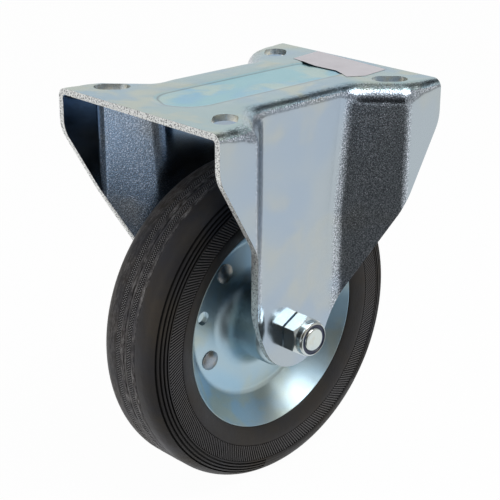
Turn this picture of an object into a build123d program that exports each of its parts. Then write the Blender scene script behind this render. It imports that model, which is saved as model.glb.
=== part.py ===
"""Fixed plate castor, wheel 160 x 40: folded sheet fork, rubber tyre, riveted disc rim, roller bearing.

The origin is the middle of the top plate's upper face. X is the rolling direction, Y runs along the axle,
Z points up. All sizes are in millimetres.
"""

import os
from math import asin, atan2, cos, hypot, radians, sin, tan

from build123d import *

os.makedirs("parts", exist_ok=True)

# Fork: one folded sheet, the top plate and two waisted legs
plate_length = 141.0
plate_width = 109.5
fork_sheet = 3.0
fold_radius = 4.5
waist_half_top = 34.5
waist_half_axle = 31.0
lean_depth = 62.0
corner_half = 48.5
wall_angle = 46.0
corner_bend = 8.0
waist_bend = 12.0
flange_depth = 19.8
flange_corner_radius = 18.0
leg_edge_angle = 30.1
leg_kink_radius = 30.0
tip_radius = 21.8
tip_below_axle = 17.2

# Plate: bolt slots and pressed recess
slot_spacing_x = 105.0
slot_spacing_y = 76.5
slot_width = 11.0
slot_length = 17.0
slot_angle = 42.0
recess_length = 114.0
recess_width = 35.0
recess_depth = 0.6
recess_wall_run = 4.0

# Axle: bolt, locking nut and inner sleeve
axle_drop = 116.5
axle_diameter = 12.0
axle_hole_clearance = 0.1
head_across_flats = 18.0
head_height = 7.5
nut_across_flats = 18.0
nut_turn = 28.0
nut_height = 12.0
nut_hex_height = 8.0
hex_chamfer_height = 1.2
hex_face_ratio = 0.95
collar_diameter = 17.2
collar_edge_radius = 1.6
insert_height = 2.8
insert_recess = 0.8
insert_outer_diameter = 15.0
bolt_end_proud = 0.6
bolt_end_chamfer = 1.2
sleeve_diameter = 20.0

# Rim: two pressed discs, back to back on the wheel's middle plane
rim_sheet = 1.8
lip_radius = 53.0
lip_half_width = 16.6
web_outer_radius = 40.5
bowl_bend = 4.0
hub_bend = 8.2
hub_end_bend = 3.0
hub_diameter = 38.5
hub_half_length = 25.0
hub_mouth_diameter = 27.0

# Rivets and holes in the rim's web
web_hole_angles = (167.0, 347.0)
web_hole_diameter = 6.5
web_hole_circle_radius = 34.2
rivet_spread_angle = 41.0
rivet_circle_radius = 33.2
rivet_shank_diameter = 6.0
rivet_hole_clearance = 0.05
rivet_head_diameter = 9.7
rivet_head_height = 1.9
rivet_edge_height = 0.4

# Roller bearing
hub_tube_wall = 1.9
roller_count = 8
roller_length = 36.0
roller_clearance = 0.05
roller_end_chamfer = 0.4
cage_wall = 3.6
cage_end_clearance = 0.5
pocket_clearance = 0.1
washer_thickness = 1.2
washer_bore_clearance = 0.3
washer_edge_clearance = 0.1

# Tyre
wheel_diameter = 160.0
tyre_width = 40.0
shoulder_radius = 10.0
bead_rise = 8.0
parting_groove_width = 1.2
parting_groove_depth = 0.4

# Places worked out from the sizes above
plate_half = plate_length / 2
flange_half = plate_width / 2
leg_inner_half = waist_half_axle - fork_sheet
tip_center_z = -axle_drop - tip_below_axle + tip_radius
kink_z = -flange_depth - (plate_half - corner_half) / tan(radians(leg_edge_angle))
kink_reach = hypot(corner_half, kink_z - tip_center_z)
lower_edge_angle = atan2(corner_half, kink_z - tip_center_z) - asin(tip_radius / kink_reach)
edges_meet_z = tip_center_z - tip_radius / sin(lower_edge_angle)
cut_margin = 10.0
axle_radius = axle_diameter / 2
axle_hole_radius = axle_radius + axle_hole_clearance
sleeve_radius = sleeve_diameter / 2
hub_radius = hub_diameter / 2
hub_tube_outer = hub_radius - rim_sheet
roller_track = hub_tube_outer - hub_tube_wall
roller_radius = (roller_track - sleeve_radius) / 2 - roller_clearance
roller_circle = (roller_track + sleeve_radius) / 2
hub_tube_half = hub_half_length - rim_sheet
cage_half = hub_tube_half - washer_thickness - cage_end_clearance
wheel_radius = wheel_diameter / 2
tyre_depth = wheel_radius - lip_radius
tyre_shoulder = min(shoulder_radius, 0.45 * tyre_depth)
tyre_bead_rise = min(bead_rise, 0.35 * tyre_depth)
axle_center = (0, 0, -axle_drop)
axle_line = Axis(axle_center, (0, 1, 0))

# The wheel's half section has the axle direction as its x and the radius as its y
wheel_section = Plane(origin=axle_center, x_dir=(0, 1, 0), z_dir=(1, 0, 0))

# The wheel seen from its near side, with X to the right and Z up
wheel_side = Plane(origin=axle_center, x_dir=(1, 0, 0), z_dir=(0, -1, 0))


def waist_half(depth):
    """Half width over the legs' middle panels, at a depth under the plate."""
    share = min(depth / lean_depth, 1.0)
    return waist_half_top + (waist_half_axle - waist_half_top) * share


def waisted_outline(depth, half_length, inset=0.0):
    """Closed plan outline of the fork at a depth, drawn in by inset for the inner face."""
    flange = flange_half - inset
    waist = waist_half(depth) - inset
    wall_shift = inset * tan(radians(wall_angle) / 2)
    wall_run = (flange_half - waist_half(depth)) / tan(radians(wall_angle))
    corner_x = corner_half + wall_shift
    waist_x = corner_half - wall_run + wall_shift
    far_side = [
        (half_length, flange),
        (corner_x, flange),
        (waist_x, waist),
        (-waist_x, waist),
        (-corner_x, flange),
        (-half_length, flange),
    ]
    near_side = [(x, -y) for x, y in reversed(far_side)]
    side_radii = [0, corner_bend - inset, waist_bend + inset, waist_bend + inset, corner_bend - inset, 0]
    return FilletPolyline(far_side + near_side, radius=side_radii * 2, close=True)


def fold_edges(body):
    """Top edges along both legs, without the two short ends."""
    return body.faces().sort_by(Axis.Z)[-1].edges().filter_by(lambda edge: abs(edge.center().Y) > 1)


def round_hex(across_flats, height):
    """Bar that rounds off a hexagon's corners at its outer face."""
    corner_radius = across_flats / 2 / cos(radians(30))
    face_radius = across_flats / 2 * hex_face_ratio
    with BuildPart() as bar:
        with BuildSketch():
            Circle(corner_radius)
        extrude(amount=height)
        chamfer(
            bar.edges().sort_by(Axis.Z)[-1],
            length=hex_chamfer_height,
            length2=corner_radius - face_radius,
        )
    return bar.part


# Hollow inside the fork
core_half_length = plate_half + cut_margin
with BuildPart() as fork_core:
    with BuildSketch(Plane.XY.offset(-fork_sheet)):
        with BuildLine():
            waisted_outline(fork_sheet, core_half_length, fork_sheet)
        make_face()
    with BuildSketch(Plane.XY.offset(-lean_depth)):
        with BuildLine():
            waisted_outline(lean_depth, core_half_length, fork_sheet)
        make_face()
    loft(ruled=True)
    fillet(fold_edges(fork_core), radius=fold_radius - fork_sheet)
    with BuildSketch(Plane.XY.offset(-lean_depth)):
        with BuildLine():
            waisted_outline(lean_depth, core_half_length, fork_sheet)
        make_face()
    extrude(amount=-(axle_drop + tip_below_axle + cut_margin - lean_depth))

# Fork
with BuildPart() as fork:
    with BuildSketch(Plane.XY):
        with BuildLine():
            waisted_outline(0, plate_half)
        make_face()
    with BuildSketch(Plane.XY.offset(-lean_depth)):
        with BuildLine():
            waisted_outline(lean_depth, plate_half)
        make_face()
    loft(ruled=True)
    fillet(fold_edges(fork), radius=fold_radius)
    with BuildSketch(Plane.XY.offset(-lean_depth)):
        with BuildLine():
            waisted_outline(lean_depth, plate_half)
        make_face()
    extrude(amount=-(axle_drop + tip_below_axle + cut_margin - lean_depth))
    add(fork_core.part, mode=Mode.SUBTRACT)
    # Side view of both legs: rounded corners, then slanting edges that run into a round tip
    with BuildSketch(Plane.XZ):
        with BuildLine():
            FilletPolyline(
                (plate_half, cut_margin),
                (plate_half, -flange_depth),
                (corner_half, kink_z),
                (0, edges_meet_z),
                (-corner_half, kink_z),
                (-plate_half, -flange_depth),
                (-plate_half, cut_margin),
                radius=[0, flange_corner_radius, leg_kink_radius, tip_radius, leg_kink_radius, flange_corner_radius, 0],
                close=True,
            )
        make_face()
    extrude(amount=plate_width, both=True, mode=Mode.INTERSECT)
    # Shallow pressed recess, which stands out below the plate by the same depth
    for face_z, mode in ((-fork_sheet, Mode.ADD), (0, Mode.SUBTRACT)):
        with BuildSketch(Plane.XY.offset(face_z)):
            SlotOverall(recess_length, recess_width)
        with BuildSketch(Plane.XY.offset(face_z - recess_depth)):
            SlotOverall(recess_length - 2 * recess_wall_run, recess_width - 2 * recess_wall_run)
        loft(ruled=True, mode=mode)
    # Bolt slots, which point at the middle of the plate
    with BuildSketch(Plane.XY):
        for side_x in (1, -1):
            for side_y in (1, -1):
                with Locations((side_x * slot_spacing_x / 2, side_y * slot_spacing_y / 2)):
                    SlotOverall(slot_length, slot_width, rotation=side_x * side_y * slot_angle)
    extrude(amount=-2 * fork_sheet, mode=Mode.SUBTRACT)
    with BuildSketch(wheel_side):
        Circle(axle_hole_radius)
    extrude(amount=plate_width, both=True, mode=Mode.SUBTRACT)

# Axle bolt, with its hexagon head against the far leg
bolt_end_y = waist_half_axle + nut_height + bolt_end_proud
head_plane = Plane(origin=(0, waist_half_axle, -axle_drop), x_dir=(1, 0, 0), z_dir=(0, 1, 0))
with BuildPart() as axle_bolt:
    with BuildSketch(head_plane):
        RegularPolygon(head_across_flats / 2, 6, major_radius=False)
    extrude(amount=head_height)
    add(head_plane.location * round_hex(head_across_flats, head_height), mode=Mode.INTERSECT)
    with BuildSketch(head_plane):
        Circle(axle_radius)
    extrude(amount=-(waist_half_axle + bolt_end_y))
    chamfer(axle_bolt.edges().sort_by(Axis.Y)[0], length=bolt_end_chamfer)

# Locking nut on the near leg: hexagon, then a round collar over a plastic ring
nut_plane = Plane(origin=(0, -waist_half_axle, -axle_drop), x_dir=(1, 0, 0), z_dir=(0, -1, 0))
insert_base = nut_height - insert_recess - insert_height
with BuildPart() as lock_nut:
    with BuildSketch(nut_plane):
        RegularPolygon(nut_across_flats / 2, 6, major_radius=False, rotation=nut_turn)
    extrude(amount=nut_hex_height)
    add(nut_plane.location * round_hex(nut_across_flats, nut_hex_height), mode=Mode.INTERSECT)
    with BuildSketch(nut_plane.offset(nut_hex_height)):
        Circle(collar_diameter / 2)
    extrude(amount=nut_height - nut_hex_height)
    fillet(lock_nut.edges().sort_by(Axis.Y)[0], radius=collar_edge_radius)
    with BuildSketch(nut_plane):
        Circle(axle_radius)
    extrude(amount=nut_height, mode=Mode.SUBTRACT)
    with BuildSketch(nut_plane.offset(insert_base)):
        Circle(insert_outer_diameter / 2)
    extrude(amount=nut_height - insert_base, mode=Mode.SUBTRACT)

with BuildPart() as nut_insert:
    with BuildSketch(nut_plane.offset(insert_base)):
        Circle(insert_outer_diameter / 2)
        Circle(axle_radius, mode=Mode.SUBTRACT)
    extrude(amount=insert_height)

# Sleeve clamped between the legs, on which the rollers run
with BuildPart() as axle_sleeve:
    with BuildSketch(wheel_side):
        Circle(sleeve_radius)
        Circle(axle_hole_radius, mode=Mode.SUBTRACT)
    extrude(amount=leg_inner_half, both=True)


def rim_path(side):
    """Outer face of one rim disc in section, from the lip to the hub's mouth."""
    points = [
        (side * lip_half_width, lip_radius),
        (side * rim_sheet, web_outer_radius),
        (side * rim_sheet, hub_radius),
        (side * hub_half_length, hub_radius),
        (side * hub_half_length, hub_mouth_diameter / 2),
    ]
    return FilletPolyline(points, radius=[bowl_bend, hub_bend, hub_end_bend])


def circle_points(radius, angles):
    """Places on a circle round the axle, as X and Z from the axle."""
    return [(radius * cos(radians(angle)), radius * sin(radians(angle))) for angle in angles]


# Rim discs, with a rivet on each side of both holes
rivet_angles = [angle + side * rivet_spread_angle for angle in web_hole_angles for side in (-1, 1)]
rivet_points = circle_points(rivet_circle_radius, rivet_angles)
rim_discs = {}
for name, side in (("near", -1), ("far", 1)):
    hidden_side = Side.RIGHT if side > 0 else Side.LEFT
    with BuildPart() as rim_disc:
        with BuildSketch(wheel_section):
            with BuildLine():
                face_line = rim_path(side)
                offset(face_line, amount=rim_sheet, side=hidden_side)
            make_face()
        revolve(axis=axle_line)
        with BuildSketch(wheel_side):
            with Locations(*rivet_points):
                Circle(rivet_shank_diameter / 2 + rivet_hole_clearance)
            with Locations(*circle_points(web_hole_circle_radius, web_hole_angles)):
                Circle(web_hole_diameter / 2)
        extrude(amount=2 * rim_sheet, both=True, mode=Mode.SUBTRACT)
    rim_disc.part.label = f"rim_disc_{name}"
    rim_discs[name] = rim_disc.part

# Rivets through both webs, with a low dome at each end
dome_top = rim_sheet + rivet_head_height
dome_edge = rim_sheet + rivet_edge_height
rivets = []
for index, (x, z) in enumerate(rivet_points, start=1):
    rivet_center = (x, 0, z - axle_drop)
    with BuildPart() as rivet:
        with BuildSketch(Plane(origin=rivet_center, x_dir=(1, 0, 0), z_dir=(0, 0, 1))):
            with BuildLine() as half_outline:
                TangentArc((0, dome_top), (rivet_head_diameter / 2, dome_edge), tangent=(1, 0))
                Polyline(
                    (rivet_head_diameter / 2, dome_edge),
                    (rivet_head_diameter / 2, rim_sheet),
                    (rivet_shank_diameter / 2, rim_sheet),
                    (rivet_shank_diameter / 2, 0),
                )
                mirror(half_outline.line, about=Plane.XZ)
                Line((0, dome_top), (0, -dome_top))
            make_face()
        revolve(axis=Axis(rivet_center, (0, 1, 0)))
    rivet.part.label = f"rivet_{index}"
    rivets.append(rivet.part)

# Outer tube of the bearing, held in both hub collars
with BuildPart() as hub_tube:
    with BuildSketch(wheel_side):
        Circle(hub_tube_outer)
        Circle(roller_track, mode=Mode.SUBTRACT)
    extrude(amount=hub_tube_half, both=True)
    outer_ends = hub_tube.edges().filter_by(GeomType.CIRCLE).sort_by(lambda edge: edge.radius)[-2:]
    fillet(outer_ends, radius=hub_end_bend - rim_sheet)

# Thrust washers inside the hub's mouths
washers = []
for name, side in (("near", 1), ("far", -1)):
    with BuildPart() as washer:
        with BuildSketch(wheel_side.offset(side * hub_tube_half)):
            Circle(roller_track - washer_edge_clearance)
            Circle(sleeve_radius + washer_bore_clearance, mode=Mode.SUBTRACT)
        extrude(amount=-side * washer_thickness)
    washer.part.label = f"thrust_washer_{name}"
    washers.append(washer.part)

# Cage with a pocket for each roller
pocket_radius = roller_radius + pocket_clearance
with BuildPart() as roller_cage:
    with BuildSketch(wheel_side):
        Circle(roller_circle + cage_wall / 2)
        Circle(roller_circle - cage_wall / 2, mode=Mode.SUBTRACT)
    extrude(amount=cage_half, both=True)
    with BuildSketch(wheel_side):
        with PolarLocations(roller_circle, roller_count):
            Circle(pocket_radius)
    extrude(amount=roller_length / 2 + pocket_clearance, both=True, mode=Mode.SUBTRACT)

rollers = []
roller_angles = [360 / roller_count * index for index in range(roller_count)]
for index, (x, z) in enumerate(circle_points(roller_circle, roller_angles), start=1):
    with BuildPart() as roller:
        with BuildSketch(wheel_side):
            with Locations((x, z)):
                Circle(roller_radius)
        extrude(amount=roller_length / 2, both=True)
        chamfer(roller.edges().filter_by(GeomType.CIRCLE), length=roller_end_chamfer)
    roller.part.label = f"roller_{index}"
    rollers.append(roller.part)

# Tyre, moulded round the outside of both discs
tyre_half = tyre_width / 2
with BuildPart() as tyre:
    with BuildSketch(wheel_section):
        with BuildLine():
            FilletPolyline(
                (-lip_half_width, lip_radius),
                (-tyre_half, lip_radius + tyre_bead_rise),
                (-tyre_half, wheel_radius),
                (tyre_half, wheel_radius),
                (tyre_half, lip_radius + tyre_bead_rise),
                (lip_half_width, lip_radius),
                (rim_sheet, web_outer_radius),
                (-rim_sheet, web_outer_radius),
                radius=[0, tyre_bead_rise, tyre_shoulder, tyre_shoulder, tyre_bead_rise, 0, 0, 0],
                close=True,
            )
        make_face()
        with Locations((0, wheel_radius)):
            Rectangle(parting_groove_width, 2 * parting_groove_depth, mode=Mode.SUBTRACT)
    revolve(axis=axle_line)
    for disc in rim_discs.values():
        add(disc, mode=Mode.SUBTRACT)

# Names and files
fork.part.label = "fork"
axle_bolt.part.label = "axle_bolt"
lock_nut.part.label = "lock_nut"
nut_insert.part.label = "nut_insert"
axle_sleeve.part.label = "axle_sleeve"
hub_tube.part.label = "hub_tube"
roller_cage.part.label = "roller_cage"
tyre.part.label = "tyre"
export_step(fork.part, "parts/fork.step")
export_step(axle_bolt.part, "parts/axle_bolt.step")
export_step(lock_nut.part, "parts/lock_nut.step")
export_step(nut_insert.part, "parts/nut_insert.step")
export_step(axle_sleeve.part, "parts/axle_sleeve.step")
export_step(hub_tube.part, "parts/hub_tube.step")
export_step(roller_cage.part, "parts/roller_cage.step")
export_step(tyre.part, "parts/tyre.step")
for piece in [*rim_discs.values(), *rivets, *washers, *rollers]:
    export_step(piece, f"parts/{piece.label}.step")
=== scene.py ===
"""A zinc plated fixed castor on a pale floor.

It has a pressed steel fork, a riveted disc rim with a rubber tyre, an axle bolt and a lock nut.
"""

from math import atan2, cos, pi, radians, sin, sqrt, tan

import bmesh
import bpy
from mathutils import Matrix, Vector


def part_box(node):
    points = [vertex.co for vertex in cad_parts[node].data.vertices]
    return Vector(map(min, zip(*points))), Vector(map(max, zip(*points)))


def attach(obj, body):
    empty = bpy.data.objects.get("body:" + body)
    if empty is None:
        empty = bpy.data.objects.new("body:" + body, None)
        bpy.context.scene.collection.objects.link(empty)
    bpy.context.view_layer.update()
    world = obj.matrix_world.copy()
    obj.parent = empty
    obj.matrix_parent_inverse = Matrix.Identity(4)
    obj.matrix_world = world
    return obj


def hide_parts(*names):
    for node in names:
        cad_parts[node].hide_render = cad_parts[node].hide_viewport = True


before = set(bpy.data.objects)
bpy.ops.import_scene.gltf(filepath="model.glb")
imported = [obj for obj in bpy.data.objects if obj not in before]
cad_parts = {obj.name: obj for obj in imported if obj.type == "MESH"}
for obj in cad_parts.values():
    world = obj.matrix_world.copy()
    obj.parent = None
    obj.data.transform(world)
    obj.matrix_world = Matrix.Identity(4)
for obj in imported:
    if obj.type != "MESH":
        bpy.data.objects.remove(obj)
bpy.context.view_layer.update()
bpy.ops.object.select_all(action="DESELECT")

# Sizes in metres, taken from the castor's own solids where they have them
MM = 0.001
FLOOR_GAP = 0.0002
tyre_low, tyre_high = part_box("tyre")
AXLE_Z = (tyre_low.z + tyre_high.z) / 2
AXLE = Vector((0.0, 0.0, AXLE_Z))
FLOOR_Z = tyre_low.z - FLOOR_GAP

# The plate's recess: where its round ends begin, and their radius
RECESS_STRAIGHT = 0.0395
RECESS_HALF = 0.0175

# How pieces are cleaned and shaded
WELD_WITHIN = 0.000002
SEAM_WITHIN = 0.000005
FLAT_WITHIN = radians(0.4)
EASED_ABOVE = radians(50)
SMOOTH_BELOW = radians(38)
TURNED_SMOOTH_BELOW = radians(40)
BARS_SMOOTH_BELOW = radians(35)
PAPER_SMOOTH_BELOW = radians(30)
FLAT_FACE_WEIGHT = 60
SHEET_EASE, DISC_EASE, BOLT_EASE = 0.00035, 0.0002, 0.00015


def take_up(piece):
    """Makes one piece the only one in hand."""
    bpy.ops.object.select_all(action="DESELECT")
    piece.select_set(True)
    bpy.context.view_layer.objects.active = piece


def put_away(piece, body, stands_for=()):
    """Settles a finished piece: its place goes into its mesh and it rides on its body."""
    take_up(piece)
    bpy.ops.object.transform_apply(location=True, rotation=True, scale=True)
    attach(piece, body)
    if stands_for:
        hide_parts(*stands_for)
    piece.select_set(False)
    return piece


def select_faces(piece, wanted):
    """In edit mode, selects just the faces that pass the test."""
    bpy.ops.mesh.select_all(action="DESELECT")
    shape = bmesh.from_edit_mesh(piece.data)
    for face in shape.faces:
        if wanted(face):
            face.select_set(True)
    bmesh.update_edit_mesh(piece.data)


def select_points(piece, wanted):
    """In edit mode, selects just the vertices whose place passes the test."""
    bpy.ops.mesh.select_all(action="DESELECT")
    shape = bmesh.from_edit_mesh(piece.data)
    for point in shape.verts:
        if wanted(point.co):
            point.select_set(True)
    bmesh.update_edit_mesh(piece.data)


def draw_outline(name, points):
    """Draws a line through the points, one extrusion after another, and stays in edit mode."""
    bpy.ops.object.select_all(action="DESELECT")
    bpy.ops.mesh.primitive_plane_add(size=0.001, location=points[0])
    piece = bpy.context.object
    piece.name = name
    bpy.ops.object.transform_apply(location=True, rotation=True, scale=True)
    bpy.ops.object.mode_set(mode="EDIT")
    bpy.ops.mesh.select_all(action="SELECT")
    bpy.ops.mesh.merge(type="CENTER")
    for here, there in zip(points, points[1:]):
        bpy.ops.mesh.extrude_vertices_move(TRANSFORM_OT_translate={"value": there - here})
    return piece


def copy_of_solid(node, name, edge_round=0.0, reshape=None):
    """A welded copy of a solid, reshaped where asked, with eased edges and smooth bends."""
    piece = bpy.data.objects.new(name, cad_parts[node].data.copy())
    bpy.context.scene.collection.objects.link(piece)
    piece.data.materials.clear()
    take_up(piece)
    bpy.ops.object.mode_set(mode="EDIT")
    bpy.ops.mesh.select_all(action="SELECT")
    bpy.ops.mesh.remove_doubles(threshold=WELD_WITHIN)
    bpy.ops.mesh.dissolve_limited(angle_limit=FLAT_WITHIN, delimit=set())
    if reshape:
        reshape(piece)
    bpy.ops.mesh.select_all(action="DESELECT")
    bpy.ops.object.mode_set(mode="OBJECT")
    if edge_round:
        easing = piece.modifiers.new("eased_edges", "BEVEL")
        easing.width = edge_round
        easing.segments = 2
        easing.limit_method = "ANGLE"
        easing.angle_limit = EASED_ABOVE
        easing.use_clamp_overlap = True
        bpy.ops.object.modifier_apply(modifier=easing.name)
    bpy.ops.object.shade_smooth_by_angle(angle=SMOOTH_BELOW)
    weighting = piece.modifiers.new("flat_faces_stay_flat", "WEIGHTED_NORMAL")
    weighting.keep_sharp = True
    weighting.weight = FLAT_FACE_WEIGHT
    bpy.ops.object.modifier_apply(modifier=weighting.name)
    return piece


# Finishes: small steps that the materials are built from

def new_finish(name, values):
    """A new material with its node tree and its shader, which gets the given values."""
    made = bpy.data.materials.new(name)
    made.use_nodes = True
    shader = made.node_tree.nodes["Principled BSDF"]
    for key, value in values.items():
        shader.inputs[key].default_value = value
    return made, made.node_tree, shader


def add_node(tree, kind, **values):
    """Adds a shader node and sets its plain values."""
    made = tree.nodes.new(kind)
    for key, value in values.items():
        if key in made.inputs:
            made.inputs[key].default_value = value
        else:
            setattr(made, key, value)
    return made


def feed(tree, socket, source):
    """Gives an input a colour, a number or another node's output."""
    if isinstance(source, tuple):
        socket.default_value = (*source, 1)
    elif isinstance(source, (int, float)):
        socket.default_value = source
    else:
        tree.links.new(source, socket)


def object_place(tree):
    """Where a point lies on its own object."""
    return tree.nodes.new("ShaderNodeTexCoord").outputs["Object"]


def add_math(tree, first, second=0.0, operation="ADD"):
    """One arithmetic step on one or two values."""
    step = add_node(tree, "ShaderNodeMath", operation=operation)
    for socket, source in zip(step.inputs, (first, second)):
        feed(tree, socket, source)
    return step.outputs["Value"]


def add_product(tree, value, *others):
    """Values multiplied with each other."""
    for other in others:
        value = add_math(tree, value, other, "MULTIPLY")
    return value


def add_largest(tree, value, *others):
    """The largest of some values."""
    for other in others:
        value = add_math(tree, value, other, "MAXIMUM")
    return value


def add_parts(tree, vector):
    """The X, Y and Z of a vector."""
    parts = tree.nodes.new("ShaderNodeSeparateXYZ")
    tree.links.new(vector, parts.inputs["Vector"])
    return parts.outputs["X"], parts.outputs["Y"], parts.outputs["Z"]


def add_flat_point(tree, first, second):
    """A point in a plane, made from two values."""
    point = tree.nodes.new("ShaderNodeCombineXYZ")
    tree.links.new(first, point.inputs["X"])
    tree.links.new(second, point.inputs["Y"])
    return point.outputs["Vector"]


def add_length(tree, vector):
    """The length of a vector."""
    length = add_node(tree, "ShaderNodeVectorMath", operation="LENGTH")
    tree.links.new(vector, length.inputs[0])
    return length.outputs["Value"]


def add_range(tree, source, low, high, to_low=0.0, to_high=1.0, course="LINEAR"):
    """Maps a value from between two limits to between two others."""
    mapped = add_node(tree, "ShaderNodeMapRange", interpolation_type=course)
    limits = (("From Min", low), ("From Max", high), ("To Min", to_low), ("To Max", to_high))
    for key, value in limits:
        mapped.inputs[key].default_value = value
    tree.links.new(source, mapped.inputs["Value"])
    return mapped.outputs["Result"]


def add_fade(tree, source, low, high, to_low=0.0, to_high=1.0):
    """Turns a value into a soft step between two limits."""
    return add_range(tree, source, low, high, to_low, to_high, "SMOOTHSTEP")


def add_ramp(tree, source, stops):
    """Colours a value by (position, colour) stops."""
    ramp = tree.nodes.new("ShaderNodeValToRGB")
    marks = ramp.color_ramp.elements
    while len(marks) < len(stops):
        marks.new(0.5)
    for mark, (position, color) in zip(marks, stops):
        mark.position = position
        mark.color = (*color, 1)
    tree.links.new(source, ramp.inputs["Fac"])
    return ramp.outputs["Color"]


def greys(*stops):
    """Ramp stops in plain grey, from (position, brightness)."""
    return [(position, (value, value, value)) for position, value in stops]


def add_blend(tree, share, first, second, how="MIX"):
    """Mixes two colours by a share from 0 to 1."""
    mix = add_node(tree, "ShaderNodeMix", data_type="RGBA", blend_type=how)
    feed(tree, mix.inputs["Factor"], share)
    color_sockets = [socket for socket in mix.inputs if socket.type == "RGBA"]
    for socket, source in zip(color_sockets, (first, second)):
        feed(tree, socket, source)
    return next(socket for socket in mix.outputs if socket.type == "RGBA")


def add_noise(tree, place, scale, detail, roughness=0.5, distortion=0.0):
    """Cloudy noise over a place."""
    noise = add_node(
        tree, "ShaderNodeTexNoise", Detail=detail, Roughness=roughness, Distortion=distortion)
    tree.links.new(place, noise.inputs["Vector"])
    feed(tree, noise.inputs["Scale"], scale)
    return noise.outputs["Fac"]


def add_bump(tree, height, strength, distance, shader):
    """Roughens a shader's surface by a height."""
    bump = add_node(tree, "ShaderNodeBump", Strength=strength, Distance=distance)
    tree.links.new(height, bump.inputs["Height"])
    tree.links.new(bump.outputs["Normal"], shader.inputs["Normal"])


# Zinc plating

GRAIN_SCALE = 1300.0
FLECK_SCALE = 1.25 * GRAIN_SCALE
SMEAR_SCALE = 70.0
DRIFT_TO_CLOUDS = 0.63
# Flecks on the bends: the dark ones are partly painted shade, the pale ones partly painted glints
DARK_FLECK_AND_SHADE = (0.11, 0.11, 0.15)
PALE_FLECK_AND_GLINT = (0.86, 0.87, 1.0)


def effect_group(name, takes, gives):
    """An empty effect with named inputs and outputs, to be filled by its maker."""
    tree = bpy.data.node_groups.new(name, "ShaderNodeTree")
    for label, kind, value in takes:
        socket = tree.interface.new_socket(label, in_out="INPUT", socket_type=kind)
        socket.default_value = value
    for label, kind in gives:
        tree.interface.new_socket(label, in_out="OUTPUT", socket_type=kind)
    taken = tree.nodes.new("NodeGroupInput").outputs
    given = tree.nodes.new("NodeGroupOutput").inputs
    return tree, taken, given


def make_plating_effect():
    """Zinc plating: cloudy passivation colours, dull smears and a rough grain on what was bent,
    with colour flecks there that also paint its speckled reflections.
    """
    tree, taken, given = effect_group(
        "zinc_plating",
        [
            ("Pale", "NodeSocketColor", (0.40, 0.48, 0.51, 1)),
            ("Warm", "NodeSocketColor", (0.44, 0.49, 0.47, 1)),
            ("Cool", "NodeSocketColor", (0.34, 0.44, 0.52, 1)),
            ("Cloud Scale", "NodeSocketFloat", 22.0),
            ("Grain On Flats", "NodeSocketFloat", 0.1),
            ("Grain On Bends", "NodeSocketFloat", 1.0),
            ("Dullness", "NodeSocketFloat", 0.2),
        ],
        [
            ("Color", "NodeSocketColor"),
            ("Roughness", "NodeSocketFloat"),
            ("Height", "NodeSocketFloat"),
        ],
    )
    link = tree.links.new
    spot = tree.nodes.new("ShaderNodeTexCoord")
    place = spot.outputs["Object"]

    # Passivation colours in large soft clouds
    clouds = add_noise(tree, place, taken["Cloud Scale"], 3.0, 0.55, 0.3)
    drift_scale = add_product(tree, taken["Cloud Scale"], DRIFT_TO_CLOUDS)
    drift = add_noise(tree, place, drift_scale, 2.0, 0.5, 0.5)
    cool_share = add_fade(tree, drift, 0.42, 0.60)
    warm_share = add_fade(tree, clouds, 0.48, 0.64)
    cooled = add_blend(tree, cool_share, taken["Pale"], taken["Cool"])
    warmed = add_blend(tree, warm_share, cooled, taken["Warm"])

    smear = add_noise(tree, place, SMEAR_SCALE, 4.0, 0.6)
    link(add_math(tree, taken["Dullness"], add_product(tree, smear, 0.14)), given["Roughness"])

    # Flat faces look along Y or Z. What looks elsewhere was bent, and its grain opened
    _, facing_y, facing_z = add_parts(tree, spot.outputs["Normal"])
    flat = add_largest(
        tree,
        add_math(tree, facing_y, operation="ABSOLUTE"),
        add_math(tree, facing_z, operation="ABSOLUTE"),
    )
    bent = add_fade(tree, flat, 0.93, 0.996, 1.0, 0.0)
    on_bends = add_product(tree, bent, taken["Grain On Bends"])
    amount = add_math(tree, taken["Grain On Flats"], on_bends)
    grain = add_noise(tree, place, GRAIN_SCALE, 2.0, 0.65)
    link(add_product(tree, grain, amount), given["Height"])

    # Grain flecks on what was bent, which also paint its speckled reflections: dark flecks as
    # painted shade, pale ones as painted glints
    flecks_and_glints = add_noise(tree, place, FLECK_SCALE, 1.0)
    fleck_share = add_product(tree, amount, 0.6)
    dark_share = add_product(tree, add_fade(tree, flecks_and_glints, 0.52, 0.36), fleck_share)
    pale_share = add_product(tree, add_fade(tree, flecks_and_glints, 0.54, 0.68), fleck_share)
    darkened = add_blend(tree, dark_share, warmed, DARK_FLECK_AND_SHADE)
    link(add_blend(tree, pale_share, darkened, PALE_FLECK_AND_GLINT), given["Color"])
    return tree


plating_effect = make_plating_effect()


def add_plating(tree, values):
    """One use of the plating effect with values of its own."""
    plating = tree.nodes.new("ShaderNodeGroup")
    plating.node_tree = plating_effect
    for key, value in values.items():
        feed(tree, plating.inputs[key], value)
    return plating


def zinc(name, pale, warm, cool, dullness, on_flats=0.03, on_bends=1.0, cloud_scale=22.0):
    """A plated steel finish."""
    made, tree, shader = new_finish(name, {"Metallic": 1.0})
    plating = add_plating(tree, {
        "Pale": pale, "Warm": warm, "Cool": cool, "Cloud Scale": cloud_scale,
        "Grain On Flats": on_flats, "Grain On Bends": on_bends, "Dullness": dullness,
    })
    tree.links.new(plating.outputs["Color"], shader.inputs["Base Color"])
    tree.links.new(plating.outputs["Roughness"], shader.inputs["Roughness"])
    add_bump(tree, plating.outputs["Height"], 1.0, 0.00009, shader)
    return made


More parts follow.
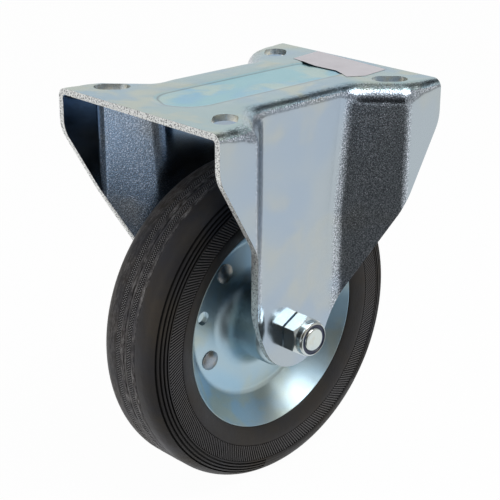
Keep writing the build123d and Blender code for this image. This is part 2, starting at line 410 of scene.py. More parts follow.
fork_zinc = zinc(
    "fork_zinc", (0.42, 0.48, 0.52), (0.45, 0.49, 0.49), (0.38, 0.46, 0.545), 0.10)
# The fork's inside faces: a darker, bluer copy of the outside plating, as painted shade
shaded_inside_zinc = zinc(
    "fork_inside_shaded_zinc", (0.34, 0.44, 0.55), (0.38, 0.44, 0.50), (0.29, 0.41, 0.57), 0.12,
    on_bends=0.7)
slot_zinc = zinc(
    "slot_wall_zinc", (0.76, 0.79, 0.74), (0.80, 0.78, 0.66), (0.66, 0.73, 0.75), 0.34,
    on_flats=0.2, on_bends=0.15, cloud_scale=180.0)
rim_zinc = zinc(
    "rim_zinc", (0.45, 0.58, 0.64), (0.48, 0.57, 0.55), (0.37, 0.56, 0.70), 0.33,
    on_bends=0.03, cloud_scale=34.0)
bolt_zinc = zinc(
    "bolt_zinc", (0.64, 0.70, 0.68), (0.62, 0.62, 0.55), (0.56, 0.64, 0.68), 0.14,
    on_bends=0.03, cloud_scale=120.0)
rivet_zinc = zinc(
    "rivet_zinc", (0.40, 0.42, 0.42), (0.42, 0.38, 0.33), (0.32, 0.37, 0.42), 0.30,
    on_flats=0.10, on_bends=0.08, cloud_scale=150.0)

# Distances from the recess's middle line: where its colour ends, and where the painted shade along
# the recess wall lies
RECESS_COLOR_EDGE = (0.0165, 0.0145)
RECESS_SHADE_BAND = (0.012, 0.018)
RECESS_SHADE_COLOR = (0.10, 0.15, 0.18)
# The painted shade moves outward on the near side by this much
RECESS_SHADE_SHIFT = 0.0028
SIDES_MEET = 0.004


def make_plate_zinc():
    """The plate's plating: bluer in the pressed recess, with painted shade along the recess wall.
    """
    made = zinc(
        "plate_zinc", (0.38, 0.52, 0.54), (0.48, 0.55, 0.49), (0.32, 0.47, 0.57), 0.16,
        on_flats=0.02, on_bends=0.8, cloud_scale=34.0)
    tree = made.node_tree
    rim_plating = next(node for node in tree.nodes if node.type == "GROUP")
    recess_plating = add_plating(tree, {
        "Pale": (0.28, 0.57, 0.64), "Warm": (0.42, 0.60, 0.58), "Cool": (0.23, 0.51, 0.69),
        "Cloud Scale": 40.0,
    })

    # Distance from the recess's middle line, which ends where the round ends begin
    x, y, _ = add_parts(tree, object_place(tree))
    from_centre = add_math(tree, x, operation="ABSOLUTE")
    past_middle = add_largest(tree, add_math(tree, from_centre, -RECESS_STRAIGHT), 0.0)
    reach = add_length(tree, add_flat_point(tree, past_middle, y))

    inside = add_fade(tree, reach, *RECESS_COLOR_EDGE)
    tint = add_blend(tree, inside, rim_plating.outputs["Color"], recess_plating.outputs["Color"])
    # Painted shade: a dark line along the recess wall, moved outward on the near side
    shift = add_fade(tree, y, -SIDES_MEET, SIDES_MEET, -RECESS_SHADE_SHIFT, 0.0)
    wall = add_range(tree, add_math(tree, reach, shift), *RECESS_SHADE_BAND)
    recess_wall_shade = add_ramp(tree, wall, greys((0.12, 0.0), (0.30, 0.75), (0.42, 0.15), (0.70, 0.0)))
    shader = tree.nodes["Principled BSDF"]
    tree.links.new(add_blend(tree, recess_wall_shade, tint, RECESS_SHADE_COLOR), shader.inputs["Base Color"])
    return made


plate_zinc = make_plate_zinc()


def make_cut_edge():
    """Sheared sheet edge: pale, rough and finely pitted."""
    made, tree, shader = new_finish("cut_edge", {"Metallic": 0.8, "Roughness": 0.45})
    pits = add_noise(tree, object_place(tree), 1150.0, 3.0, 0.7)
    tone = add_ramp(tree, pits, [
        (0.38, (0.09, 0.09, 0.10)), (0.43, (0.56, 0.57, 0.57)), (0.54, (0.96, 0.97, 0.95)),
    ])
    tree.links.new(tone, shader.inputs["Base Color"])
    add_bump(tree, pits, 0.8, 0.00015, shader)
    return made


cut_edge = make_cut_edge()


# Tyre sizes in mm: the shoulder's rounding, its grooves, the side ribs and the tread

SHOULDER_Y = 10.0
SHOULDER_R = 70.0
SHOULDER_ROUND = 10.0
GROOVE_PITCH = 1.66
INNER_GROOVE = 71.3
GROOVE_RADII = tuple(INNER_GROOVE + GROOVE_PITCH * step for step in (3, 2, 1, 0))
RIB_BAND = (61.9, 70.3)
PARTING_Y = 0.6
KNURL_STRIPS = ((-4.1, -1.5), (3.6, 6.1))
KNURL_FLOOR = 79.7
TREAD_RADIUS = 80.0
TREAD_EDGE = 6.8

# Where wear, the paler crests and the painted shade in the hollows begin and end, in mm from the
# axle, the middle plane or a groove's middle
ON_TREAD = (78.5, 79.7)
STUD_CREST = (79.93, 80.01)
STRIP_FLOOR = (79.7, 79.9)
RIB_CREST = (19.6, 19.8)
RIB_VALLEY = (19.4, 19.65)
RIBBED = (62.1, 70.2)
GROOVED = (70.8, 76.8)
GROOVE_WALL = (0.30, 0.50)

# Metres to a radian for the streaks, less than the tyre's radius, so that they are drawn out
STREAK_STRETCH = 0.022
SCUFF_COLOR = (0.46, 0.44, 0.44)
CREST_COLOR = (0.38, 0.37, 0.375)
# Painted shade in the tyre's hollows
HOLLOW_SHADE_COLOR = (0.003, 0.003, 0.003)


def make_rubber():
    """Moulded rubber: near black, with painted shade in its hollows, paler crests and a scuffed,
    dusty tread.
    """
    made, tree, shader = new_finish("tyre_rubber", {"Specular IOR Level": 0.3})
    link = tree.links.new
    place = object_place(tree)

    def fade(value, limits, to_low=0.0, to_high=1.0):
        """A soft step between two limits in mm."""
        return add_fade(tree, value, limits[0] * MM, limits[1] * MM, to_low, to_high)

    def share_between(value, limits, soft):
        """1 inside a range in mm and 0 outside it."""
        low, high = limits
        begins = fade(value, (low - soft, low + soft))
        ends = fade(value, (high - soft, high + soft), 1.0, 0.0)
        return add_product(tree, begins, ends)

    # Where on the tyre: distance from the axle, from the middle plane, and way round
    centred = add_node(tree, "ShaderNodeMapping", Location=(0, 0, -AXLE_Z))
    link(place, centred.inputs["Vector"])
    x, y, z = add_parts(tree, centred.outputs["Vector"])
    reach = add_length(tree, add_flat_point(tree, x, z))
    aside = add_math(tree, y, operation="ABSOLUTE")
    turned = add_math(tree, x, z, "ARCTAN2")

    # Paler and browner toward the tread, in patches
    by_radius = add_ramp(tree, add_range(tree, reach, 0.053, 0.080), [
        (0.0, (0.023, 0.022, 0.022)), (0.60, (0.025, 0.0235, 0.0238)),
        (0.84, (0.035, 0.033, 0.0325)), (0.93, (0.045, 0.042, 0.0405)),
        (0.975, (0.055, 0.052, 0.051)), (1.0, (0.048, 0.045, 0.046)),
    ])
    patches = add_noise(tree, place, 38.0, 5.0, 0.62)
    tint = add_ramp(tree, patches, [
        (0.34, (0.84, 0.88, 1.04)), (0.50, (1.04, 1.0, 0.96)), (0.66, (1.42, 1.24, 0.98)),
    ])
    color = add_blend(tree, 1.0, by_radius, tint, "MULTIPLY")

    # Scuffs: long streaks round the tread, most on its flat bands
    across_tread = add_range(tree, y, -0.008, 0.008)
    bands = add_ramp(tree, across_tread, greys(
        (0.05, 0.0), (0.10, 0.95), (0.21, 0.8), (0.25, 0.1), (0.42, 0.4),
        (0.50, 0.8), (0.66, 0.7), (0.80, 0.1), (0.95, 0.3),
    ))
    way_round = add_flat_point(tree, add_product(tree, turned, STREAK_STRETCH), y)
    streaks = add_noise(tree, way_round, 760.0, 5.0, 0.72)
    grit = add_noise(tree, place, 1500.0, 3.0, 0.75)
    scuffing = add_product(
        tree, bands, fade(reach, ON_TREAD),
        add_fade(tree, streaks, 0.43, 0.60),
        add_fade(tree, grit, 0.40, 0.60, 0.40, 1.0),
        add_fade(tree, patches, 0.38, 0.56, 0.35, 1.0),
    )
    color = add_blend(tree, scuffing, color, SCUFF_COLOR)

    # Paler crests of the ribs and studs
    in_ribs = share_between(reach, RIBBED, 0.15)
    in_strips = add_math(tree, *(share_between(y, strip, 0.1) for strip in KNURL_STRIPS))
    rib_crests = add_product(tree, in_ribs, fade(aside, RIB_CREST), 0.20)
    stud_crests = add_product(tree, fade(reach, STUD_CREST), in_strips, 0.95)
    color = add_blend(tree, add_math(tree, rib_crests, stud_crests), color, CREST_COLOR)

    # Painted shade in the hollows: shoulder grooves, rib valleys, the knurled strips' floor
    past_inner = add_math(tree, reach, -INNER_GROOVE * MM)
    beside_groove = add_math(tree, past_inner, GROOVE_PITCH * MM / 2, "PINGPONG")
    in_grooves = share_between(reach, GROOVED, 0.1)
    painted_hollow_shade = add_largest(
        tree,
        add_product(tree, in_grooves, fade(beside_groove, GROOVE_WALL, 0.9, 0.0)),
        add_product(tree, in_ribs, fade(aside, RIB_VALLEY, 0.9, 0.0)),
        add_product(tree, in_strips, fade(reach, STRIP_FLOOR, 0.95, 0.0)),
    )
    color = add_blend(tree, painted_hollow_shade, color, HOLLOW_SHADE_COLOR)
    link(color, shader.inputs["Base Color"])

    link(add_fade(tree, patches, 0.3, 0.7, 0.46, 0.62), shader.inputs["Roughness"])
    grain = add_noise(tree, place, 1700.0, 2.0)
    dents = add_noise(tree, place, 220.0, 3.0)
    uneven = add_math(tree, grain, add_product(tree, dents, 2.5))
    add_bump(tree, uneven, 1.0, 0.0001, shader)
    return made


tyre_rubber = make_rubber()


def make_mottled(name, color, roughness, metallic=0.0, scale=300.0, spread=0.10):
    """A moulded, printed or ground finish with a little mottling and a fine surface."""
    made, tree, shader = new_finish(name, {"Metallic": metallic, "Roughness": roughness})
    mottle = add_noise(tree, object_place(tree), scale, 4.0)
    darker = tuple((1 - spread) * part for part in color)
    lighter = tuple(min(1.0, (1 + spread) * part) for part in color)
    tone = add_ramp(tree, mottle, [(0.3, darker), (0.7, lighter)])
    tree.links.new(tone, shader.inputs["Base Color"])
    add_bump(tree, mottle, 0.5, 0.00003, shader)
    return made


bearing_steel = make_mottled("bearing_steel", (0.60, 0.60, 0.60), 0.25, metallic=1.0)
cage_nylon = make_mottled("cage_nylon", (0.80, 0.78, 0.70), 0.5)
insert_nylon = make_mottled("insert_nylon", (0.03, 0.04, 0.09), 0.4)
label_paper = make_mottled("label_paper", (0.56, 0.54, 0.575), 0.45, scale=90.0, spread=0.05)


# Fork: its sheet, its fold radii and the corners of its waisted outline, in mm

SHEET = 3.0
FOLD = 4.5
SOFT_FOLD = 6.2
WIDE_FOLD = 9.6
WAIST_TOP, WAIST_LOW, LEAN_DEPTH = 34.5, 31.0, 62.0
FLANGE_HALF = 54.75
CORNER_X = 48.5
WALL_ANGLE = radians(46)
WAIST_BEND, CORNER_BEND = 12.0, 8.0
WALL_ALONG = Vector((cos(WALL_ANGLE), sin(WALL_ANGLE)))
WALL_INWARD = Vector((sin(WALL_ANGLE), -cos(WALL_ANGLE)))

# Along X, where the soft folds turn wide and back, and where they end in the solid's own folds
TURNS_WIDE = (22, 36)
TURNS_BACK = (49, 60)
SOFT_ENDS = (61, 69)

# Cuts that give the new bends their faces: steps in from the outer skins, and places along X.
# Then how far down the level cuts, the upright cuts and the bends go
CUT_STEPS = (5.4, 6.3, 7.3, 8.4, 9.7)
CUTS_ACROSS = (
    22, 24, 25.5, 27, 28.5, 30, 31.5, 33, 34.5, 36,
    49, 50.5, 52, 53.5, 55, 56.5, 58, 60, 62, 64, 66, 68,
)
LEVEL_CUTS_REACH = 100
UPRIGHT_CUTS_REACH = 9.9
FOLDS_REACH = 12
SKIN_WITHIN = 0.3


def soft_step(value, low, high):
    """0 below the first limit, 1 above the second, soft between."""
    share = min(max((value - low) / (high - low), 0.0), 1.0)
    return share * share * (3 - 2 * share)


def inset_from_outline(x, y, depth):
    """For one quarter, how far a point lies inside the fork's outline and the way out, in mm."""
    waist = WAIST_TOP + (WAIST_LOW - WAIST_TOP) * min(depth / LEAN_DEPTH, 1.0)
    wall_length = (FLANGE_HALF - waist) / sin(WALL_ANGLE)
    waist_x = CORNER_X - wall_length * cos(WALL_ANGLE)
    point = Vector((x, y))
    from_waist = point - Vector((waist_x, waist))
    along = from_waist.dot(WALL_ALONG)
    waist_tangent = WAIST_BEND * tan(WALL_ANGLE / 2)
    corner_tangent = CORNER_BEND * tan(WALL_ANGLE / 2)
    if x <= waist_x - waist_tangent:
        return waist - y, Vector((0, 1))
    if along < waist_tangent:
        to_middle = Vector((waist_x - waist_tangent, waist + WAIST_BEND)) - point
        return to_middle.length - WAIST_BEND, to_middle.normalized()
    if along < wall_length - corner_tangent:
        return from_waist.dot(WALL_INWARD), -WALL_INWARD
    if x < CORNER_X + corner_tangent:
        from_middle = point - Vector((CORNER_X + corner_tangent, FLANGE_HALF - CORNER_BEND))
        return CORNER_BEND - from_middle.length, from_middle.normalized()
    return FLANGE_HALF - y, Vector((0, 1))


def upright_fold_cuts():
    """Places and directions of the upright cuts, in mm: along the folds, then across them."""
    cuts = []
    for side_x in (1, -1):
        for side_y in (1, -1):
            inward = Vector((side_x * WALL_INWARD.x, side_y * WALL_INWARD.y, 0))
            corner = Vector((side_x * CORNER_X, side_y * FLANGE_HALF, 0))
            cuts += [(corner + inward * step, inward) for step in CUT_STEPS]
    for side_y in (1, -1):
        for edge in (WAIST_TOP, FLANGE_HALF):
            cuts += [((0, side_y * (edge - step), 0), (0, 1, 0)) for step in CUT_STEPS[:3]]
    for across in CUTS_ACROSS:
        cuts += [((side_x * across, 0, 0), (1, 0, 0)) for side_x in (1, -1)]
    return cuts


def widen_folds(piece):
    """Rolls the folds under the plate to softer bends, and to wide ones over the slanting walls."""
    for step in CUT_STEPS:
        select_faces(piece, lambda face: face.calc_center_bounds().z > -LEVEL_CUTS_REACH * MM)
        bpy.ops.mesh.bisect(plane_co=(0, 0, -step * MM), plane_no=(0, 0, 1))
    for place, facing in upright_fold_cuts():
        select_faces(piece, lambda face: face.calc_center_bounds().z > -UPRIGHT_CUTS_REACH * MM)
        bpy.ops.mesh.bisect(plane_co=Vector(place) * MM, plane_no=facing)
    shape = bmesh.from_edit_mesh(piece.data)
    for point in shape.verts:
        x, y, depth = abs(point.co.x) / MM, abs(point.co.y) / MM, -point.co.z / MM
        wide = soft_step(x, *TURNS_WIDE) * (1 - soft_step(x, *TURNS_BACK))
        bend = SOFT_FOLD + (WIDE_FOLD - SOFT_FOLD) * wide
        bend -= (SOFT_FOLD - FOLD) * soft_step(x, *SOFT_ENDS)
        inset, outward = inset_from_outline(x, y, depth)
        if depth >= bend or inset >= bend or depth > FOLDS_REACH:
            continue
        if inset >= FOLD:
            under_skin = depth
        elif depth >= FOLD:
            under_skin = inset
        else:
            under_skin = FOLD - sqrt((FOLD - inset) ** 2 + (FOLD - depth) ** 2)
        for skin in (0, SHEET):
            if abs(under_skin - skin) < SKIN_WITHIN:
                under_skin = skin
        angle = atan2(bend - depth, bend - inset)
        shift = inset - (bend - (bend - under_skin) * cos(angle))
        point.co.x += shift * outward.x * MM * (1 if point.co.x > 0 else -1)
        point.co.y += shift * outward.y * MM * (1 if point.co.y > 0 else -1)
        point.co.z = -(bend - (bend - under_skin) * sin(angle)) * MM
    bmesh.update_edit_mesh(piece.data)


# Which finish each of the fork's faces has, by place in metres and direction; the inside faces get
# a painted-shade copy of the plating
FORK_FINISHES = {
    "outside": fork_zinc, "cut_edge": cut_edge, "plate_top": plate_zinc,
    "inside": shaded_inside_zinc, "slot_wall": slot_zinc,
}
BELOW_PLATE_Z = -0.006
PLATE_END_X = 0.070
SLOTS_Z, SLOTS_X, SLOTS_Y = -0.0032, 0.066, 0.047
PLATE_TOP_Z = -0.0028


def fork_finish_of(face):
    """The name of a face's finish: bare sheared edges, slot walls, plate, inside or outside."""
    middle, facing = face.center, face.normal
    leg_edge = abs(facing.y) < 0.05 and middle.z < BELOW_PLATE_Z
    plate_end = abs(facing.x) > 0.98 and abs(middle.x) > PLATE_END_X
    if leg_edge or plate_end:
        return "cut_edge"
    among_slots = middle.z > SLOTS_Z and abs(middle.x) < SLOTS_X and abs(middle.y) < SLOTS_Y
    if among_slots and abs(facing.z) < 0.2:
        return "slot_wall"
    if middle.z > PLATE_TOP_Z and facing.z > 0.30:
        return "plate_top"
    if facing.z < -0.5 or facing.y * middle.y < -0.3 * abs(middle.y):
        return "inside"
    return "outside"


fork = copy_of_solid("fork", "fork_sheet", edge_round=SHEET_EASE, reshape=widen_folds)
for finish in FORK_FINISHES.values():
    fork.data.materials.append(finish)
finish_places = {name: place for place, name in enumerate(FORK_FINISHES)}
for face in fork.data.polygons:
    face.material_index = finish_places[fork_finish_of(face)]
put_away(fork, "fork_body", ["fork"])


# Axle bolt, lock nut and its ring

SEAT_CHAMFER = 0.0007
SEAT_WITHIN = 0.00001


def chamfer_nut_seat(piece):
    """Breaks the edges where the nut sits on the leg."""
    seat = max(point.co.y for point in bmesh.from_edit_mesh(piece.data).verts)
    select_faces(piece, lambda face: face.calc_center_bounds().y > seat - SEAT_WITHIN)
    bpy.ops.mesh.region_to_loop()
    bpy.ops.mesh.bevel(offset=SEAT_CHAMFER, segments=1)


for node, name, finish, slot, ease, reshape in [
    ("axle_bolt", "bolt_with_head", bolt_zinc, "zinc_fastener", BOLT_EASE, None),
    ("lock_nut", "nut_with_collar", bolt_zinc, "zinc_fastener", BOLT_EASE, chamfer_nut_seat),
    ("nut_insert", "nut_ring", insert_nylon, "insert", 0.0, None),
]:
    piece = copy_of_solid(node, name, edge_round=ease, reshape=reshape)
    piece.data.materials.append(finish)
    put_away(piece, "fork_body", [node])

# Rim discs and rivets

for side in ("near", "far"):
    disc = copy_of_solid(f"rim_disc_{side}", f"rim_pressing_{side}", edge_round=DISC_EASE)
    disc.data.materials.append(rim_zinc)
    put_away(disc, "wheel", [f"rim_disc_{side}"])
for number in range(1, 5):
    rivet = copy_of_solid(f"rivet_{number}", f"rivet_{number}_domed")
    rivet.data.materials.append(rivet_zinc)
    put_away(rivet, "wheel", [f"rivet_{number}"])


# Tyre: one outline from bead to bead, turned round the axle. All in mm

SHOULDER_MARKS = (79.93, 79.8, 79.6, 79.3, 78.9, 78.4, 77.8, 77.1)
GROOVE_LINE = (
    (0.46, 0.0), (0.38, 0.18), (0.30, 1.0), (-0.30, 1.0), (-0.38, 0.18), (-0.46, 0.0),
)
LAND_RISE = 0.02
SIDE_LINE = (
    (19.97, 70.45), (19.90, 70.32), (19.32, 70.22), (19.28, 66.0), (19.25, 62.0),
    (19.68, 61.85), (19.72, 61.6), (19.6, 60.0), (19.0, 57.6),
    (18.0, 55.4), (17.2, 54.1), (16.5, 53.4), (15.4, 53.0),
)
PARTING_LINE = (
    (-0.5, TREAD_RADIUS), (-0.28, 79.85), (-0.12, 79.2),
    (0.12, 79.2), (0.28, 79.85), (0.5, TREAD_RADIUS),
)
STRIP_SLOPE = 0.15
WORN_EDGE = ((9.0, 79.97), (8.0, 79.95), (7.2, 79.9), (TREAD_EDGE, 79.68))
TYRE_STEPS = 240


def shoulder_y(radius):
    """Half width of the rounded shoulder at a radius."""
    return SHOULDER_Y + sqrt(max(SHOULDER_ROUND ** 2 - (radius - SHOULDER_R) ** 2, 0.0))


def side_outline():
    """One side of the tyre from tread edge to bead, as (half width, radius)."""
    points = [(shoulder_y(radius), radius) for radius in SHOULDER_MARKS]
    for groove in GROOVE_RADII:
        for shift, depth in GROOVE_LINE:
            points.append((shoulder_y(groove + shift) - depth, groove + shift))
        land = groove - GROOVE_PITCH / 2
        points.append((shoulder_y(land) + LAND_RISE, land))
    points.pop()
    return points + list(SIDE_LINE)


def tread_outline():
    """The tread from edge to edge: worn edges, two knurled strips and the parting groove."""
    points = [(-y, radius) for y, radius in WORN_EDGE] + [(-TREAD_EDGE + 0.35, 79.97)]
    for low, high in KNURL_STRIPS:
        if low > PARTING_Y:
            points += [(PARTING_Y + shift, radius) for shift, radius in PARTING_LINE]
        points += [(low - STRIP_SLOPE, TREAD_RADIUS), (low, KNURL_FLOOR)]
        points += [(high, KNURL_FLOOR), (high + STRIP_SLOPE, TREAD_RADIUS)]
    return points + [(TREAD_EDGE - 0.25, 79.97), *reversed(WORN_EDGE)]


def finish_turned(piece, has_seam=False):
    """Closes and shades a piece turned round the axle, and makes it rubber."""
    bpy.ops.mesh.select_all(action="SELECT")
    if has_seam:
        bpy.ops.mesh.remove_doubles(threshold=SEAM_WITHIN)
    bpy.ops.mesh.normals_make_consistent(inside=False)
    bpy.ops.object.mode_set(mode="OBJECT")
    bpy.ops.object.shade_smooth_by_angle(angle=TURNED_SMOOTH_BELOW)
    piece.data.materials.append(tyre_rubber)


near_side = [(-y, radius) for y, radius in reversed(side_outline())]
outline = near_side + tread_outline() + side_outline()
tyre = draw_outline("tyre_body", [Vector((0.0, y * MM, AXLE_Z + r * MM)) for y, r in outline])
bpy.ops.mesh.select_all(action="SELECT")
bpy.ops.mesh.spin(steps=TYRE_STEPS, angle=2 * pi, center=AXLE, axis=(0, 1, 0))
finish_turned(tyre, has_seam=True)
put_away(tyre, "wheel", ["tyre"])


def ring_of_bars(name, size, at, turn, copies, outward, crest):
    """One small crested bar on the tyre, repeated all the way round the axle."""
    bpy.ops.object.select_all(action="DESELECT")
    bpy.ops.mesh.primitive_cube_add(size=1, location=at, scale=size)
    bars = bpy.context.object
    bars.name = name
    bpy.ops.object.transform_apply(location=False, rotation=False, scale=True)
    bpy.ops.object.mode_set(mode="EDIT")
    select_faces(bars, lambda face: face.normal.dot(outward) > 0.9)
    bpy.ops.mesh.inset(thickness=crest)
    bpy.ops.transform.translate(value=outward * crest)
    bpy.ops.object.mode_set(mode="OBJECT")
    bars.rotation_euler = turn
    bpy.ops.object.transform_apply(location=True, rotation=True, scale=True)
    bpy.ops.object.mode_set(mode="EDIT")
    bpy.ops.mesh.select_all(action="SELECT")
    turned = 2 * pi * ((copies - 1) / copies)
    bpy.ops.mesh.spin(steps=copies - 1, angle=turned, center=AXLE, axis=(0, 1, 0), dupli=True)
    bpy.ops.object.mode_set(mode="OBJECT")
    bpy.ops.object.shade_smooth_by_angle(angle=BARS_SMOOTH_BELOW)
    bars.data.materials.append(tyre_rubber)
    put_away(bars, "wheel")


RIB_SIZE = (0.00066, 0.0007, 0.0090)
RIB_SEAT_Y = 0.0193
RIB_SLANT = radians(29)
RIB_CREST_RISE = 0.00018
RIBS_ROUND = 290
rib_z = AXLE_Z + sum(RIB_BAND) / 2 * MM
for side, name in ((-1, "near"), (1, "far")):
    ring_of_bars(
        f"side_ribs_{name}", RIB_SIZE, (0.0, side * RIB_SEAT_Y, rib_z),
        (0, side * RIB_SLANT, 0), RIBS_ROUND, Vector((0, side, 0)), RIB_CREST_RISE)

STUD_SIZE = (0.00062, 0.00062, 0.0004)
STUD_SEAT_RADIUS = 0.0797
STUD_TURN = radians(45)
STUD_CREST_RISE = 0.00012
STUD_ROWS = 3
STUDS_ROUND = 420
half_step = pi / STUDS_ROUND
for (low, high), name in zip(KNURL_STRIPS, ("near", "far")):
    for row in range(STUD_ROWS):
        y = (low + (row + 0.5) * (high - low) / STUD_ROWS) * MM
        shift = half_step * (row % 2)
        at = (STUD_SEAT_RADIUS * sin(shift), y, AXLE_Z + STUD_SEAT_RADIUS * cos(shift))
        ring_of_bars(
            f"tread_knurl_{name}_{row + 1}", STUD_SIZE, at, (0, 0, STUD_TURN),
            STUDS_ROUND, Vector((0, 0, 1)), STUD_CREST_RISE)


# Bare moulded pad on the near shoulder, where the grooves stop: degrees round, and mm

PAD_FROM, PAD_TO = 207, 263
PAD_RADII = [70.75 + 0.5 * step for step in range(13)]
PAD_RISE, PAD_SINK = 0.10, 0.5
PAD_STEPS = 60

start = radians(PAD_TO)
pad_line = [(-(shoulder_y(r) + PAD_RISE), r) for r in PAD_RADII]
pad_line += [(-(shoulder_y(r) - PAD_SINK), r) for r in reversed(PAD_RADII)]
pad = draw_outline("shoulder_pad", [
    Vector((r * MM * cos(start), y * MM, AXLE_Z + r * MM * sin(start))) for y, r in pad_line])
bpy.ops.mesh.select_all(action="SELECT")
bpy.ops.mesh.edge_face_add()
pad_sweep = radians(PAD_TO - PAD_FROM)
bpy.ops.mesh.spin(steps=PAD_STEPS, angle=pad_sweep, center=AXLE, axis=(0, 1, 0))
bpy.ops.mesh.select_all(action="DESELECT")
bpy.ops.mesh.select_non_manifold(
    extend=False, use_wire=True, use_boundary=True,
    use_multi_face=False, use_non_contiguous=False, use_verts=False)
bpy.ops.mesh.edge_face_add()
finish_turned(pad)
put_away(pad, "wheel")


# Blank paper label on the plate: corners and cuts in mm, the rest in metres

LABEL_CORNERS = [
    (49.2, 22.1), (70.0, 25.1), (65.4, -24.7), (47.9, -26.6),
    (40.4, -21.9), (46.9, -9.1), (46.3, 8.5),
]
LABEL_CUTS_X, LABEL_CUTS_Y = range(42, 70, 2), range(-25, 25, 2)
LABEL_Z = 0.00006
LABEL_SAG, SAG_EDGE = 0.00032, 0.003
LABEL_LIFT, LIFTED_X, LIFTED_Y = 0.00045, 0.0485, (0.0065, 0.0140)
PAPER_THICKNESS = 0.0001


def over_recess(at):
    """Whether a point of the label lies over the recess's floor."""
    return (at.x - RECESS_STRAIGHT) ** 2 + at.y ** 2 < (RECESS_HALF - SAG_EDGE) ** 2


def at_lifted_edge(at):
    """Whether a point lies where the label's edge has come loose."""
    return at.x < LIFTED_X and LIFTED_Y[0] < at.y < LIFTED_Y[1]


label = draw_outline("plate_label", [Vector((x * MM, y * MM, LABEL_Z)) for x, y in LABEL_CORNERS])
bpy.ops.mesh.select_all(action="SELECT")
bpy.ops.mesh.edge_face_add()
for x in LABEL_CUTS_X:
    bpy.ops.mesh.select_all(action="SELECT")
    bpy.ops.mesh.bisect(plane_co=(x * MM, 0, 0), plane_no=(1, 0, 0))
for y in LABEL_CUTS_Y:
    bpy.ops.mesh.select_all(action="SELECT")
    bpy.ops.mesh.bisect(plane_co=(0, y * MM, 0), plane_no=(0, 1, 0))
select_points(label, over_recess)
bpy.ops.transform.translate(value=(0, 0, -LABEL_SAG))
select_points(label, at_lifted_edge)
bpy.ops.transform.translate(value=(0, 0, LABEL_LIFT))
bpy.ops.mesh.select_all(action="SELECT")
bpy.ops.mesh.vertices_smooth(factor=0.5, repeat=2, xaxis=False, yaxis=False, zaxis=True)
bpy.ops.mesh.normals_make_consistent(inside=False)
bpy.ops.object.mode_set(mode="OBJECT")
paper_weight = label.modifiers.new("paper_thickness", "SOLIDIFY")
paper_weight.thickness = PAPER_THICKNESS
paper_weight.offset = 1.0
bpy.ops.object.modifier_apply(modifier=paper_weight.name)
bpy.ops.object.shade_smooth_by_angle(angle=PAPER_SMOOTH_BELOW)
label.data.materials.append(label_paper)
put_away(label, "fork_body")

# Bearing pieces keep their own solids

BEARING_STEEL_NODES = [
    "axle_sleeve", "hub_tube", "thrust_washer_near", "thrust_washer_far",
    *(f"roller_{number}" for number in range(1, 9)),
]
bearing_finishes = {node: bearing_steel for node in BEARING_STEEL_NODES}
bearing_finishes["roller_cage"] = cage_nylon
for node, finish in bearing_finishes.items():
    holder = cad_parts[node]
    holder.data.materials.clear()
    holder.data.materials.append(finish)


# Studio: pale floor, a white room with an unlit side for the plating to mirror, and soft light

FLOOR_SIZE = 6
ROOM_SHADES = [
    # The room's unlit side: middle, turn in degrees, half sizes, share of the light taken
    (-0.316, -0.409, -149, 0.48, 0.22, 0.93),
    (-0.620, -0.910, -149, 0.60, 0.42, 0.95),
    (-0.250, -0.090, -90, 0.20, 0.17, 0.86),
    (-0.120, -0.620, -90, 0.25, 0.26, 0.95),
]
SHADE_EDGE = (0.72, 1.04)
DARKEST_ROOM = 0.02
SEEN_GLOW, MIRRORED_GLOW = 0.975, 0.90
SKY_LEVEL = 0.47
SKY_PATCHES = [
    # Azimuth, elevation, inner and outer angle, strength: light adds, dark takes away
    (43, 14, 22, 50, 0.36),
    (110, 51, 9, 19, -0.43),
    (80, 52, 10, 22, -0.3),
    (133, 22, 8, 22, 0.34),
    (-129, 14, 17, 32, -0.44),
    (-48, 5, 8, 20, -0.3),
]


def toward(azimuth, elevation):
    """Direction by compass angle from +Y over +X, and height, both in degrees."""
    a, e = radians(azimuth), radians(elevation)
    return Vector((sin(a) * cos(e), cos(a) * cos(e), sin(e)))


def make_studio_paper():
    """Pale floor paper that glows to the eye and mirrors as a white room with an unlit side."""
    made, tree, surface = new_finish("studio_paper", {
        "Base Color": (0.86, 0.87, 0.88, 1), "Roughness": 0.9, "Specular IOR Level": 0.1,
    })
    link = tree.links.new
    ray = tree.nodes.new("ShaderNodeLightPath").outputs
    spot = object_place(tree)
    room = 1.0
    for x, y, azimuth, half_length, half_width, taken_share in ROOM_SHADES:
        shade = add_node(tree, "ShaderNodeMapping", vector_type="TEXTURE")
        shade.inputs["Location"].default_value = (x, y, 0)
        shade.inputs["Rotation"].default_value = (0, 0, radians(90 - azimuth))
        shade.inputs["Scale"].default_value = (half_length, half_width, 1)
        link(spot, shade.inputs["Vector"])
        off_middle = add_length(tree, shade.outputs["Vector"])
        darkening = add_fade(tree, off_middle, *SHADE_EDGE, -taken_share, 0.0)
        room = add_math(tree, room, darkening)
    room = add_largest(tree, room, DARKEST_ROOM)
    glow = add_node(tree, "ShaderNodeEmission", Color=(1, 1, 1, 1))
    link(add_largest(tree, room, ray["Is Camera Ray"]), glow.inputs["Strength"])
    seen = add_product(tree, ray["Is Camera Ray"], SEEN_GLOW)
    mirrored = add_product(tree, ray["Is Glossy Ray"], MIRRORED_GLOW)
    blend = tree.nodes.new("ShaderNodeMixShader")
    link(add_largest(tree, seen, mirrored), blend.inputs["Fac"])
    link(surface.outputs["BSDF"], blend.inputs[1])
    link(glow.outputs["Emission"], blend.inputs[2])
    link(blend.outputs["Shader"], tree.nodes["Material Output"].inputs["Surface"])
    return made


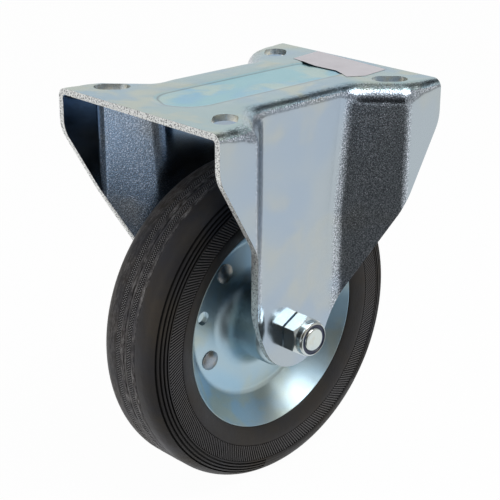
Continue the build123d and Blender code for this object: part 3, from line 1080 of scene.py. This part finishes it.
def make_surroundings():
    """Even light all round with soft lighter and darker patches. Seen directly it is white."""
    world = bpy.data.worlds.new("studio_surroundings")
    world.use_nodes = True
    tree = world.node_tree
    way = tree.nodes.new("ShaderNodeTexCoord").outputs["Generated"]
    level = SKY_LEVEL
    for azimuth, elevation, inner, outer, strength in SKY_PATCHES:
        facing = add_node(tree, "ShaderNodeVectorMath", operation="DOT_PRODUCT")
        facing.inputs[1].default_value = toward(azimuth, elevation)
        tree.links.new(way, facing.inputs[0])
        limits = (cos(radians(outer)), cos(radians(inner)))
        patch = add_fade(tree, facing.outputs["Value"], *limits, 0.0, strength)
        level = add_math(tree, level, patch)
    ray = tree.nodes.new("ShaderNodeLightPath").outputs
    sky = tree.nodes["Background"]
    sky.inputs["Color"].default_value = (1, 1, 1, 1)
    tree.links.new(add_largest(tree, level, ray["Is Camera Ray"]), sky.inputs["Strength"])
    return world


bpy.ops.object.select_all(action="DESELECT")
bpy.ops.mesh.primitive_plane_add(size=FLOOR_SIZE, location=(0, 0, FLOOR_Z))
floor = bpy.context.object
floor.name = "studio_floor"
floor.data.materials.append(make_studio_paper())
bpy.context.scene.world = make_surroundings()

# One square soft light overhead that looks at the castor's middle
CASTOR_MIDDLE = Vector((0, 0, -0.09))
LAMP_DISTANCE, LAMP_SIZE, LAMP_POWER = 1.1, 0.58, 6.0
lamp_way = toward(172, 62)
lamp_data = bpy.data.lights.new("overhead_light", "AREA")
lamp_data.size = LAMP_SIZE
lamp_data.energy = LAMP_POWER
lamp = bpy.data.objects.new("overhead_light", lamp_data)
bpy.context.scene.collection.objects.link(lamp)
lamp.location = CASTOR_MIDDLE + lamp_way * LAMP_DISTANCE
lamp.rotation_euler = lamp_way.to_track_quat("Z", "Y").to_euler()

# Camera at the photograph's place
VIEW_TURN, VIEW_RISE, VIEW_ROLL = radians(-43.65), radians(20.89), radians(0.24)
VIEW_MIDDLE = Vector((-0.00119, 0.0, -0.08278))
VIEW_DISTANCE = 0.66094
SENSOR_WIDTH = 36.0
FOCAL_LENGTH_PIXELS, PICTURE_PIXELS = 1363.27, 500.0
back = Vector((
    sin(VIEW_TURN) * cos(VIEW_RISE), -cos(VIEW_TURN) * cos(VIEW_RISE), sin(VIEW_RISE)))
across = (-back).cross(Vector((0, 0, 1))).normalized()
upward = across.cross(-back)
right = across * cos(VIEW_ROLL) + upward * sin(VIEW_ROLL)
top = upward * cos(VIEW_ROLL) - across * sin(VIEW_ROLL)
stand = VIEW_MIDDLE + back * VIEW_DISTANCE
camera_data = bpy.data.cameras.new("camera")
camera_data.sensor_width = SENSOR_WIDTH
camera_data.lens = SENSOR_WIDTH * FOCAL_LENGTH_PIXELS / PICTURE_PIXELS
camera = bpy.data.objects.new("camera", camera_data)
bpy.context.scene.collection.objects.link(camera)
camera.matrix_world = Matrix((
    (right.x, top.x, back.x, stand.x),
    (right.y, top.y, back.y, stand.y),
    (right.z, top.z, back.z, stand.z),
    (0, 0, 0, 1),
))
bpy.context.scene.camera = camera
bpy.context.scene.view_settings.view_transform = "Standard"
